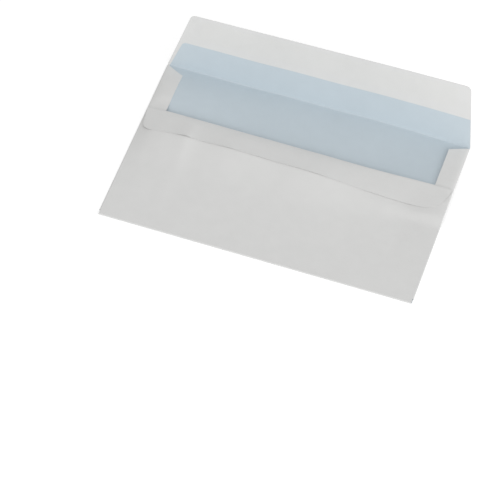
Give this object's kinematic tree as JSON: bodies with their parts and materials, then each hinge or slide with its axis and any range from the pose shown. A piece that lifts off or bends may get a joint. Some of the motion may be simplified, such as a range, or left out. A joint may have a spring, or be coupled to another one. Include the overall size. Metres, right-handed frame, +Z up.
{
  "type": "self-seal window envelope",
  "caption": "Small self-seal window envelope, empty and open, lying face down with its top flap standing up and its lower flap turned down.",
  "frame": {"origin": "middle of the footprint, on the surface that the envelope lies on", "axes": "+X along the flap's crease, +Y from the pocket's foot towards the flap, +Z up out of the back panel"},
  "size_m": [0.162, 0.1216, 0.0327],
  "materials": {
    "paper": "uncoated white paper, printed pale grey-blue on the inside",
    "film": "thin clear film, glossy",
    "glue": "thin dried glue, dull",
    "gum": "dried latex gum, clear and satin"
  },
  "bodies": {
    "root": {"envelope_blank": "paper", "window_glue": "glue", "window_film": "film", "left_seam_glue": "glue", "right_seam_glue": "glue", "flap_gum": "gum", "lower_flap_gum": "gum"}
  },
  "joints": []
}
